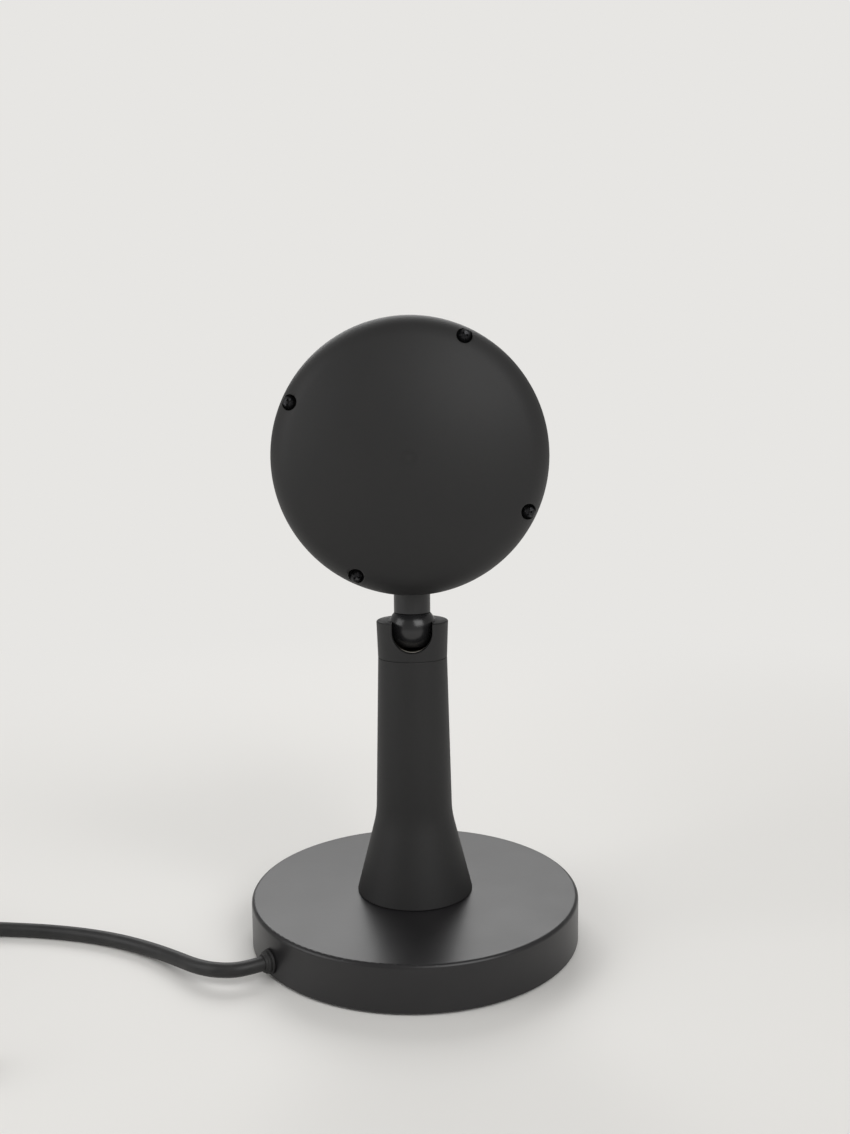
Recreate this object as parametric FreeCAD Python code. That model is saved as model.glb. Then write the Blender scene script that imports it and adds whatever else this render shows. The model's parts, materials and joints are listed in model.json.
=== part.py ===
import FreeCAD, Part
import math
import os
from FreeCAD import Rotation, Vector

# A small projection lamp: a round head with a bulging lens on a ball joint, a tapered post, a
# weighted round base, and a cord with an inline switch and a plug.
# Millimetres, +Z up. The origin is on the table, under the middle of the base. The lens looks
# towards -Y, so "depth" below is Y: minus is the front, plus is the domed back.

# ---- driving sizes ----
BASE_R = 50.0
BASE_TOP = 14.0
BASE_SKIRT = 0.5
BASE_WALL = 2.0
BASE_EDGE = 1.1
POST_FOOT_R = 17.7
POST_CONE_TOP = 38.0
POST_CONE_R = 11.6
POST_WAIST_R = 10.42
POST_WAIST = 86.6
RIM_R = 10.8
RIM = 97.7
BALL_R = 7.3
BALL_Z = 95.2
NECK_R = 5.47
HEAD_R = 40.0
HEAD_Z = 146.4
BAND_FRONT = -13.0
BAND_BACK = 8.3
DOME_BACK = 27.0
FACE_FRONT = -22.0
LENS_R = 27.9
LENS_TIP = -28.0
CORD_D = 4.1

# ---- clearances ----
SLIDE = 0.05
FIT = 0.1

# ---- inside the base ----
PAD_R = 46.5
PAD_T = 1.2
PLATE_R = 47.6
PLATE_T = 0.8
PLATE_TOP = PAD_T + PLATE_T
WEIGHT_R = 46.0
WEIGHT_LOW = 5.0
WEIGHT_TOP = BASE_TOP - BASE_WALL
WEIGHT_WEB = 8.6
NUT_POCKET_R = 15.0
PLATE_BOSS_R = 4.0
PLATE_SCREW_R = 37.0
PLATE_SCREWS = 3

# ---- post joint ----
STUD_R = 5.0
STUD_BORE = 3.4
STUD_LOW = 4.2
STUD_HIGH = 26.0
WIRE_BORE = 4.0
SPRING_FLOOR = 72.0
SPRING_BORE = 8.0
SPIGOT_R = 9.3
SPIGOT_TOP = 92.5
SEAT_LOW = 84.5
SEAT_R = SPRING_BORE - FIT
SPRING_R = 6.3
SPRING_WIRE = 0.55
SPRING_TURNS = 4
NOTCH_R = 6.0
SHANK_R = 3.6
SHANK_LOW = 90.8
BALL_FLAT = 4.8
BALL_FOOT = 5.0
CLIP_LOW = 91.25
CLIP_T = 0.65
NECK_SEAT = 106.8

# ---- head ----
HEAD_WALL = 2.2
REBATE = 1.4
WEB_FRONT = 4.0
WEB_BACK = 6.0
WEB_HOLE_R = 16.0
SHOULDER_R = 12.0
SHOULDER_START = 8.8
COVER_WALL = 2.0
COVER_SCREW_R = 36.8
COVER_SCREW_ANGLES = (25.0, 115.0, 205.0, 295.0)
COVER_SCREW_FLOOR = 14.0
LENS_SEAT = -12.2
LENS_EDGE = -14.8
LENS_BULGE_R = 25.6
TUBE_BORE = 14.0
SINK_R = 24.0
SINK_FINS = 9
SINK_FIN_STEP = 5.1
SINK_FIN_T = 1.6
SINK_BACK = 19.0
SINK_SCREW_R = 21.7
TUBE_SCREW_R = 17.6
BOARD_R = 13.3

# ---- cord ----
CORD_R = CORD_D / 2
EXIT_ANGLE = 35.0
EXIT_Z = 4.9
GROMMET_OUT = 52.4
SWITCH_X = 174.0
SWITCH_Y = 1.5
SWITCH_L = 46.0
SWITCH_W = 16.0
SWITCH_H = 10.0
SWITCH_END_W = 8.0
BUTTON_L = 9.0
BUTTON_W = 6.5
COIL_X = 199.2
COIL_Y = 50.0
COIL_MEAN_R = 23.0
COIL_STEP = 4.65
COIL_LAYERS = 4
COIL_TURNS = 8.25
TIE_T = 0.6
TIE_W = 5.0
TIE_ANGLE = 225.0
PLUG_Z = 4.0
PLUG_L = 24.0
PLUG_W = 15.6
PLUG_H = 8.0
SHELL_L = 12.0
SHELL_W = 12.0
SHELL_H = 4.5
SHELL_T = 0.35

UP = Vector(0, 0, 1)
BACK = Vector(0, 1, 0)
parts = {}


def keep(name, shape):
    if shape.Volume < 0:
        shape.reverse()
    if not shape.isValid():
        print("NOT VALID", name)
    parts[name] = shape


def polar(radius, degrees, z=0.0):
    angle = math.radians(degrees)
    return Vector(radius * math.cos(angle), radius * math.sin(angle), z)


def on_head(radius, degrees, depth):
    """A point of the head, its angle seen from behind: 0 is left of the neck, 90 is up."""
    angle = math.radians(degrees)
    return Vector(radius * math.cos(angle), depth, HEAD_Z + radius * math.sin(angle))


# ---- outlines and turned solids ----
def corner_cut(before, corner, after, rounding):
    """The two ends and the middle of the arc that rounds a corner."""
    to_before = (before - corner).normalize()
    to_after = (after - corner).normalize()
    half = to_before.getAngle(to_after) / 2
    reach = rounding / math.tan(half)
    middle = (to_before + to_after).normalize()
    depth = rounding / math.sin(half) - rounding
    return corner + to_before * reach, corner + middle * depth, corner + to_after * reach


def outline(corners):
    """A closed wire in a plane. A corner is (u, v) or (u, v, rounding), and ("by", u, v) bends the
    side between its neighbours into an arc through that point."""
    spots = [Vector(*corner[-2:], 0) if corner[0] == "by" else Vector(corner[0], corner[1], 0)
             for corner in corners]
    count = len(corners)
    ends = []
    edges = []
    for index, corner in enumerate(corners):
        if corner[0] != "by" and len(corner) == 3:
            start, middle, end = corner_cut(spots[index - 1], spots[index], spots[(index + 1) % count], corner[2])
            edges.append(Part.Arc(start, middle, end).toShape())
            ends.append((start, end))
        else:
            ends.append((spots[index], spots[index]))
    for index, corner in enumerate(corners):
        following = (index + 1) % count
        if corner[0] == "by":
            edges.append(Part.Arc(spots[index - 1], spots[index], spots[following]).toShape())
        elif corners[following][0] != "by":
            edges.append(Part.LineSegment(ends[index][1], ends[following][0]).toShape())
    return Part.Wire(Part.__sortEdges__(edges))


def turned(corners):
    """A solid turned about Z from corners (radius, z)."""
    face = Part.Face(outline(corners))
    face.rotate(Vector(0, 0, 0), Vector(1, 0, 0), 90)
    return face.revolve(Vector(0, 0, 0), UP, 360)


def head_turned(corners):
    """A solid turned about the head's axis from corners (radius, depth)."""
    face = Part.Face(outline(corners))
    face.translate(Vector(0, 0, HEAD_Z))
    return face.revolve(Vector(0, 0, HEAD_Z), BACK, 360)


def rod(radius, start, direction, length):
    return Part.makeCylinder(radius, length, start, direction)


def block(low, high):
    return Part.makeBox(high[0] - low[0], high[1] - low[1], high[2] - low[2], Vector(*low))


def aimed(shape, at, direction):
    """Turn a solid made along +Z to a direction and set it at a point."""
    shape.Placement = FreeCAD.Placement(at, Rotation(UP, direction))
    return shape


def group(shapes):
    return Part.makeCompound(shapes)


def pan_screw(at, direction, head_r, head_t, shank_r, shank_l):
    """A pan-head screw with a cross recess. The point is under its head, which stands along direction."""
    head = turned([(0, -shank_l), (shank_r, -shank_l), (shank_r, 0), (head_r, 0),
                   (head_r, head_t * 0.4), ("by", head_r * 0.75, head_t * 0.85), (0, head_t)])
    arm = head_r * 0.55
    slot = head_r * 0.13
    floor = head_t * 0.45
    cross = block((-arm, -slot, floor), (arm, slot, head_t + 1))
    cross = cross.fuse(block((-slot, -arm, floor), (slot, arm, head_t + 1)))
    return aimed(head.cut(cross), at, direction)


def hexagon(across, at_z, height):
    radius = across / math.sqrt(3)
    points = [polar(radius, 60 * side + 30, at_z) for side in range(7)]
    return Part.Face(Part.makePolygon(points)).extrude(UP * height)


# ---- cords ----
def tube_path(points):
    """Straight runs joined by tangent arcs, and the radii of those arcs."""
    edges = []
    radii = []
    here = points[0]
    for before, corner, after in zip(points, points[1:], points[2:]):
        shorter = min((corner - before).Length, (after - corner).Length)
        half_turn = (corner - before).getAngle(after - corner) / 2
        radius = 0.45 * shorter / math.tan(half_turn)
        start, middle, end = corner_cut(before, corner, after, radius)
        edges.append(Part.LineSegment(here, start).toShape())
        edges.append(Part.Arc(start, middle, end).toShape())
        radii.append(radius)
        here = end
    edges.append(Part.LineSegment(here, points[-1]).toShape())
    return edges, radii


def swept(edges, radius):
    path = Part.Wire(edges)
    start = path.Edges[0].valueAt(path.Edges[0].FirstParameter)
    along = path.Edges[0].tangentAt(path.Edges[0].FirstParameter)
    ring = Part.Wire(Part.makeCircle(radius, start, along))
    return path.makePipeShell([ring], True, False), path.Length


def tube(name, points, radius):
    edges, radii = tube_path(points)
    solid, length = swept(edges, radius)
    whole = math.pi * radius ** 2 * length
    if radii:
        print("%s length %.1f, bend radii %s, volume ratio %.4f" % (
            name, length, " ".join("%.1f" % r for r in radii), abs(solid.Volume) / whole))
    return solid


def biarc(start, start_way, end, end_way):
    """Two tangent arcs from one point and direction to another."""
    chord = end - start
    both = start_way + end_way
    slack = 2 * (1 - start_way.dot(end_way))
    reach = (math.sqrt(chord.dot(both) ** 2 + slack * chord.dot(chord)) - chord.dot(both)) / slack
    first = start + start_way * reach
    second = end - end_way * reach
    joint = (first + second) * 0.5
    arcs = []
    for a, peak, b in ((start, first, joint), (joint, second, end)):
        half = (peak - a).getAngle(b - peak) / 2
        radius = (peak - a).Length / math.tan(half)
        middle = peak + ((a - peak).normalize() + (b - peak).normalize()).normalize() * (
            radius / math.cos(half) - radius)
        arcs.append(Part.Arc(a, middle, b).toShape())
    return arcs


# =====================================================================================
# base
# =====================================================================================
def base():
    housing = turned([(0, WEIGHT_TOP), (BASE_R - BASE_WALL, WEIGHT_TOP, 0.8),
                      (BASE_R - BASE_WALL, BASE_SKIRT), (BASE_R, BASE_SKIRT, 0.4),
                      (BASE_R, BASE_TOP, BASE_EDGE), (0, BASE_TOP)])
    housing = housing.cut(rod(STUD_R + FIT, Vector(0, 0, 0), UP, BASE_TOP + 1))
    outward = polar(1, EXIT_ANGLE)
    housing = housing.cut(rod(CORD_R + 0.8, polar(BASE_R - 8, EXIT_ANGLE, EXIT_Z), outward, 12))
    keep("base_housing", housing)

    weight = turned([(STUD_R + FIT, WEIGHT_WEB), (NUT_POCKET_R, WEIGHT_WEB, 0.6),
                     (NUT_POCKET_R, WEIGHT_LOW, 0.8), (WEIGHT_R, WEIGHT_LOW, 1.0),
                     (WEIGHT_R, WEIGHT_TOP, 1.0), (STUD_R + FIT, WEIGHT_TOP)])
    screw_spots = [polar(PLATE_SCREW_R, 360 / PLATE_SCREWS * k + 90, 0) for k in range(PLATE_SCREWS)]
    for spot in screw_spots:
        weight = weight.fuse(rod(PLATE_BOSS_R, spot + UP * PLATE_TOP, UP, WEIGHT_LOW + 1 - PLATE_TOP))
    for spot in screw_spots:
        weight = weight.cut(rod(1.5, spot + UP * PLATE_TOP, UP, 7))
    channel = block((NUT_POCKET_R - 2, -CORD_R - 0.4, WEIGHT_LOW - 1), (BASE_R, CORD_R + 0.4, EXIT_Z + CORD_R + 0.3))
    channel.rotate(Vector(0, 0, 0), UP, EXIT_ANGLE)
    weight = weight.cut(channel)
    clamp_at = polar(33.0, EXIT_ANGLE)
    aside = polar(1, EXIT_ANGLE + 90)
    clamp_screw_spots = [clamp_at + aside * (6.2 * side) for side in (-1, 1)]
    for spot in clamp_screw_spots:
        weight = weight.cut(rod(1.25, spot + UP * (WEIGHT_LOW - 1), UP, 5))
    keep("base_weight", weight)

    plate = rod(PLATE_R, Vector(0, 0, PAD_T), UP, PLATE_T)
    pad = turned([(0, 0), (PAD_R, 0, 0.3), (PAD_R, PAD_T), (0, PAD_T)])
    screws = []
    for spot in screw_spots:
        plate = plate.cut(rod(1.6, spot, UP, 5))
        pad = pad.cut(rod(3.2, spot - UP, UP, 5))
        screws.append(pan_screw(spot + UP * PAD_T, UP * -1, 2.75, 0.9, 1.45, 5.5))
    keep("bottom_plate", plate)
    keep("foot_pad", pad)
    keep("bottom_screws", group(screws))

    strap_r = CORD_R + 0.85
    strap = Part.Face(outline([(-8.6, WEIGHT_LOW - 0.8), (-strap_r, WEIGHT_LOW - 0.8, 0.5), (-strap_r, EXIT_Z - 0.6),
                               ("by", 0, EXIT_Z - strap_r), (strap_r, EXIT_Z - 0.6),
                               (strap_r, WEIGHT_LOW - 0.8, 0.5), (8.6, WEIGHT_LOW - 0.8), (8.6, WEIGHT_LOW),
                               (CORD_R + 0.05, WEIGHT_LOW), (CORD_R + 0.05, EXIT_Z - 0.3),
                               ("by", 0, EXIT_Z - CORD_R - 0.05), (-CORD_R - 0.05, EXIT_Z - 0.3),
                               (-CORD_R - 0.05, WEIGHT_LOW), (-8.6, WEIGHT_LOW)]))
    strap = strap.extrude(UP * 5.0)
    strap.Placement = FreeCAD.Placement(polar(30.5, EXIT_ANGLE), Rotation(aside, UP, polar(1, EXIT_ANGLE), "XYZ"))
    clamp_screws = []
    for spot in clamp_screw_spots:
        strap = strap.cut(rod(1.35, spot, UP, 8))
        clamp_screws.append(pan_screw(spot + UP * (WEIGHT_LOW - 0.8), UP * -1, 2.1, 1.2, 1.2, 4.0))
    keep("cord_clamp", strap)
    keep("clamp_screws", group(clamp_screws))

    grommet = turned([(CORD_R, -3.7), (CORD_R + 1.5, -3.7), (CORD_R + 1.5, -2.1, 0.2), (CORD_R + 0.75, -2.1),
                      (CORD_R + 0.75, 0.05), (CORD_R + 1.5, 0.05), (CORD_R + 1.2, 1.3, 0.3),
                      (CORD_R + 0.5, GROMMET_OUT - BASE_R), (CORD_R, GROMMET_OUT - BASE_R)])
    grommet = aimed(grommet, polar(BASE_R, EXIT_ANGLE, EXIT_Z), outward)
    above_plate = rod(BASE_R - BASE_WALL, Vector(0, 0, 0), UP, PLATE_TOP + SLIDE)
    keep("cord_grommet", grommet.cut(above_plate))


def base_cord():
    """The cord's last stretch under the weight, and its two leads up the post."""
    inner_end = polar(19.0, EXIT_ANGLE, EXIT_Z)
    lead_start = polar(18.95, EXIT_ANGLE, EXIT_Z)
    outer_end = polar(GROMMET_OUT, EXIT_ANGLE, EXIT_Z)
    keep("cord_inside", rod(CORD_R, inner_end, polar(1, EXIT_ANGLE), (outer_end - inner_end).Length))
    leads = []
    aside = polar(1, EXIT_ANGLE + 90)
    for side in (-1, 1):
        offset = aside * (0.95 * side)
        route = [lead_start + offset, polar(15.0, EXIT_ANGLE, EXIT_Z) + offset, polar(9.5, EXIT_ANGLE, 3.2) + offset,
                 polar(3.4, EXIT_ANGLE, 2.95) + offset, polar(0.6, EXIT_ANGLE, 5.4) + offset,
                 Vector(0, 0, 13.0) + offset, Vector(0.3, 0.2, 29.0) + offset, Vector(0.5, 0.3, 57.0) + offset,
                 Vector(0, 0, SPIGOT_TOP - 6) + offset]
        leads.append(tube("post lead", route, 0.7))
    keep("post_leads", group(leads))


# =====================================================================================
# post and ball joint
# =====================================================================================
def notch(radius):
    """The open-topped U at the back of the socket, round the ball's centre."""
    centre = Vector(0, 0, BALL_Z)
    return rod(radius, centre, BACK, RIM_R + 2).fuse(block((-radius, 0, BALL_Z), (radius, RIM_R + 2, RIM + 2)))


def post():
    body = turned([(0, BASE_TOP), (POST_FOOT_R, BASE_TOP, 0.3), (POST_CONE_R, POST_CONE_TOP, 28.0),
                   (POST_WAIST_R, POST_WAIST, 0.25), (SPIGOT_R, POST_WAIST), (SPIGOT_R, SPIGOT_TOP), (0, SPIGOT_TOP)])
    body = body.cut(rod(STUD_R + SLIDE, Vector(0, 0, BASE_TOP - 1), UP, STUD_HIGH + 1.5 - BASE_TOP))
    body = body.cut(rod(WIRE_BORE, Vector(0, 0, BASE_TOP), UP, SPIGOT_TOP))
    body = body.cut(rod(SPRING_BORE, Vector(0, 0, SPRING_FLOOR), UP, SPIGOT_TOP))
    keep("post", body.cut(notch(NOTCH_R)))

    collar = turned([(SPIGOT_R + SLIDE, POST_WAIST), (POST_WAIST_R, POST_WAIST, 0.25), (RIM_R, RIM, 0.45),
                     (math.sqrt((BALL_R + SLIDE) ** 2 - (RIM - BALL_Z) ** 2), RIM),
                     ("by", BALL_R + SLIDE - 0.12, BALL_Z + 1.31), (BALL_R + SLIDE, BALL_Z),
                     (BALL_R + SLIDE, SPIGOT_TOP + 0.2), (SPIGOT_R + SLIDE, SPIGOT_TOP + 0.2)])
    keep("socket_collar", collar.cut(notch(NOTCH_R)))

    seat = turned([(3.0, SEAT_LOW), (5.2, SEAT_LOW), (5.2, SEAT_LOW - 1.5, 0.2), (5.6, SEAT_LOW - 1.5),
                   (5.6, SEAT_LOW), (SEAT_R, SEAT_LOW, 0.4), (SEAT_R, SPIGOT_TOP), (3.0, SPIGOT_TOP)])
    cup = Part.makeSphere(BALL_R + SLIDE, Vector(0, 0, BALL_Z))
    keep("ball_seat", seat.cut(cup).cut(notch(NOTCH_R + 0.2)))

    stud = turned([(STUD_BORE, STUD_LOW), (STUD_R, STUD_LOW, 0.5), (STUD_R, STUD_HIGH, 0.5), (STUD_BORE, STUD_HIGH)])
    keep("post_stud", stud)
    keep("stud_washer", turned([(STUD_R + FIT, WEIGHT_WEB - 0.8), (9.0, WEIGHT_WEB - 0.8, 0.2),
                                (9.0, WEIGHT_WEB), (STUD_R + FIT, WEIGHT_WEB)]))
    nut = hexagon(14.0, 4.6, WEIGHT_WEB - 0.8 - 4.6).common(Part.makeCone(7.0, 9.5, 3.2, Vector(0, 0, 4.6)))
    keep("stud_nut", nut.cut(rod(STUD_R + 0.02, Vector(0, 0, 0), UP, 20)))


def spring():
    """A round-wire compression spring with closed ends, as tangent arcs of a quarter turn."""
    low = SPRING_FLOOR + SPRING_WIRE + 0.05
    high = SEAT_LOW - SPRING_WIRE - 0.05
    quarters = 4 * (SPRING_TURNS + 2)

    def height(turn):
        dead = 2.3 * SPRING_WIRE
        if turn < 1:
            return low + dead * turn
        if turn > SPRING_TURNS + 1:
            return high - dead * (SPRING_TURNS + 2 - turn)
        share = (turn - 1) / SPRING_TURNS
        return low + dead + (high - low - 2 * dead) * share

    def spot(turn):
        return polar(SPRING_R, 360 * turn, height(turn))

    def way(turn):
        low_turn = max(turn - 0.01, 0)
        high_turn = min(turn + 0.01, SPRING_TURNS + 2)
        return (spot(high_turn) - spot(low_turn)).normalize()

    edges = []
    for quarter in range(quarters):
        start = quarter / 4
        edges += biarc(spot(start), way(start), spot(start + 0.25), way(start + 0.25))
    solid, length = swept(edges, SPRING_WIRE)
    keep("seat_spring", solid)


def ball_and_neck():
    bore = SHANK_R + SLIDE
    ball = Part.makeSphere(BALL_R, Vector(0, 0, BALL_Z))
    ball = ball.common(block((-9, -9, BALL_Z - BALL_FOOT), (9, 9, BALL_Z + BALL_FLAT)))
    ball = ball.cut(rod(bore, Vector(0, 0, BALL_Z - 9), UP, 18))
    ball = ball.cut(rod(4.75, Vector(0, 0, BALL_Z - 9), UP, 9 - BALL_FOOT + 1.8))
    keep("ball", ball)

    neck_low = BALL_Z + BALL_FLAT + FIT
    neck = turned([(2.2, SHANK_LOW), (SHANK_R, SHANK_LOW, 0.25), (SHANK_R, CLIP_LOW - 0.03), (3.0, CLIP_LOW - 0.03),
                   (3.0, CLIP_LOW + CLIP_T + 0.03), (SHANK_R, CLIP_LOW + CLIP_T + 0.03), (SHANK_R, neck_low),
                   (NECK_R, neck_low, 0.2), (NECK_R, NECK_SEAT), (4.0, NECK_SEAT), (4.0, 116.0, 0.4), (2.2, 116.0)])
    keep("neck", neck)
    clip = turned([(3.03, CLIP_LOW), (4.6, CLIP_LOW), (4.6, CLIP_LOW + CLIP_T), (3.03, CLIP_LOW + CLIP_T)])
    keep("neck_clip", clip.cut(block((-1.6, 0, CLIP_LOW - 1), (1.6, 9, CLIP_LOW + 2))))
    washer_low = HEAD_Z - 35.4
    keep("neck_washer", turned([(4.1, washer_low), (6.8, washer_low, 0.2), (6.8, washer_low + 0.8), (4.1, washer_low + 0.8)]))
    nut = hexagon(11.0, washer_low + 0.8, 3.2).common(Part.makeCone(7.6, 5.5, 3.2, Vector(0, 0, washer_low + 0.8)))
    keep("neck_nut", nut.cut(rod(4.02, Vector(0, 0, 100), UP, 20)))


# =====================================================================================
# head
# =====================================================================================
def dome_curve(wall):
    """Half the dome's outline, drawn in by a wall: a flat dome from its tip, then a shoulder arc."""
    shoulder = SHOULDER_R - wall
    centre = HEAD_R - SHOULDER_R
    drop = DOME_BACK - SHOULDER_START
    dome_r = (centre ** 2 + drop ** 2 - SHOULDER_R ** 2) / (2 * (drop - SHOULDER_R)) - wall
    dome_centre = DOME_BACK - wall - dome_r
    slope = math.atan2(SHOULDER_START - dome_centre, centre)
    between = (math.pi / 2 + slope) / 2
    return [(0, DOME_BACK - wall),
            ("by", dome_r * math.cos(between), dome_centre + dome_r * math.sin(between)),
            (centre + shoulder * math.cos(slope), SHOULDER_START + shoulder * math.sin(slope)),
            ("by", centre + shoulder * math.cos(slope / 2), SHOULDER_START + shoulder * math.sin(slope / 2)),
            (HEAD_R - wall, SHOULDER_START)]


def rear_cover():
    lip = HEAD_R - REBATE - FIT
    inner_lip = HEAD_R - HEAD_WALL - 1.0
    half_wall = COVER_WALL / 2
    filling = head_turned(dome_curve(half_wall) + [(HEAD_R - half_wall, BAND_BACK), (0, BAND_BACK)])
    cover = head_turned(dome_curve(0.0) + [(HEAD_R, BAND_BACK), (lip, BAND_BACK), (lip, BAND_BACK - 1.9),
                                           (inner_lip, BAND_BACK - 1.9), (inner_lip, SHOULDER_START)]
                        + dome_curve(COVER_WALL)[::-1])
    posts = []
    pockets = []
    for angle in COVER_SCREW_ANGLES:
        foot = on_head(COVER_SCREW_R, angle, BAND_BACK)
        posts.append(rod(3.2, foot, BACK, DOME_BACK - BAND_BACK).common(filling))
        pockets.append(rod(3.4, foot - BACK * 4, BACK, 4))
        pockets.append(rod(2.3, foot + BACK * (COVER_SCREW_FLOOR - BAND_BACK), BACK, DOME_BACK))
        pockets.append(rod(1.35, foot - BACK * 3, BACK, DOME_BACK))
    keep("rear_cover", cover.multiFuse(posts).cut(group(pockets)).removeSplitter())
    keep("cover_screws", group([pan_screw(on_head(COVER_SCREW_R, angle, COVER_SCREW_FLOOR), BACK, 2.0, 1.3, 1.2, 9.5)
                                for angle in COVER_SCREW_ANGLES]))


def head_band():
    inner = HEAD_R - HEAD_WALL
    lip = HEAD_R - REBATE
    band = head_turned([
        (HEAD_R, BAND_FRONT), (HEAD_R, BAND_BACK), (lip, BAND_BACK), (lip, BAND_BACK - 2.0), (inner, BAND_BACK - 2.0),
        (inner, WEB_BACK), (WEB_HOLE_R, WEB_BACK), (WEB_HOLE_R, WEB_FRONT), (inner, WEB_FRONT, 0.8),
        (inner, BAND_FRONT + 3.0), (lip, BAND_FRONT + 3.0), (lip, BAND_FRONT)])
    whole = head_turned([(0, BAND_FRONT), (HEAD_R, BAND_FRONT), (HEAD_R, BAND_BACK), (0, BAND_BACK)])
    pad = rod(8.0, Vector(0, 0, HEAD_Z - HEAD_R), UP, HEAD_R - 35.4).common(whole)
    pad = pad.common(block((-9, -9, 0), (9, WEB_BACK, HEAD_Z)))
    within_lip = head_turned([(0, 0), (lip - SLIDE, 0), (lip - SLIDE, BAND_BACK), (0, BAND_BACK)])
    bosses = [rod(3.1, on_head(COVER_SCREW_R, angle, 0), BACK, BAND_BACK).common(within_lip)
              for angle in COVER_SCREW_ANGLES]
    band = band.multiFuse(bosses + [pad])
    band = band.cut(rod(NECK_R + SLIDE, Vector(0, 0, NECK_SEAT - 5), UP, 5))
    band = band.cut(rod(4.0 + SLIDE, Vector(0, 0, NECK_SEAT - 5), UP, 20))
    band = band.cut(rod(7.6, Vector(0, 0, HEAD_Z - 35.4), UP, 8))
    holes = [rod(1.25, on_head(COVER_SCREW_R, angle, BAND_BACK - 6.5), BACK, 9) for angle in COVER_SCREW_ANGLES]
    for angle in (90, 210, 330):
        holes.append(rod(1.4, on_head(SINK_SCREW_R, angle, 0), BACK, 9))
    for angle in (30, 150):
        holes.append(rod(1.05, on_head(TUBE_SCREW_R, angle, 0), BACK, 9))
    keep("head_band", band.cut(group(holes)).removeSplitter())


def front():
    lip = HEAD_R - REBATE - FIT
    bore = LENS_R + FIT
    bezel = head_turned([
        (HEAD_R, BAND_FRONT), (lip, BAND_FRONT), (lip, BAND_FRONT + 2.8), (lip - 2.4, BAND_FRONT + 2.8),
        (lip - 2.4, BAND_FRONT - 4.0), (bore + 2.6, BAND_FRONT - 4.0), (bore + 2.6, LENS_SEAT + 2.0),
        (LENS_R - 3.9, LENS_SEAT + 2.0), (LENS_R - 3.9, LENS_SEAT), (bore, LENS_SEAT), (bore, -19.2),
        (bore + 1.0, -19.2, 0.3), (bore + 1.0, -20.2), (bore + 3.6, -20.2), (bore + 4.6, FACE_FRONT, 0.4),
        (HEAD_R, FACE_FRONT, 3.4)])
    keep("front_bezel", bezel)
    sag = LENS_EDGE - LENS_TIP
    front_r = (LENS_BULGE_R ** 2 + sag ** 2) / (2 * sag)
    half = math.asin(LENS_BULGE_R / front_r) / 2
    lens = head_turned([
        (0, LENS_SEAT), (LENS_R, LENS_SEAT), (LENS_R, LENS_EDGE), (LENS_BULGE_R, LENS_EDGE),
        ("by", front_r * math.sin(half), LENS_TIP + front_r * (1 - math.cos(half))), (0, LENS_TIP)])
    keep("lens", lens)
    ring = head_turned([(LENS_BULGE_R + 0.3, LENS_EDGE), (LENS_R + SLIDE, LENS_EDGE), (LENS_R + SLIDE, -18.9, 0.3),
                        (LENS_BULGE_R + 1.2, -18.9, 0.2), (LENS_BULGE_R + 0.3, -17.6)])
    for angle in (0, 180):
        slot = block((LENS_BULGE_R - 2, -20, HEAD_Z - 0.9), (LENS_R + 3, -17.7, HEAD_Z + 0.9))
        slot.rotate(Vector(0, 0, HEAD_Z), BACK, angle)
        ring = ring.cut(slot)
    keep("lens_ring", ring)


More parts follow.
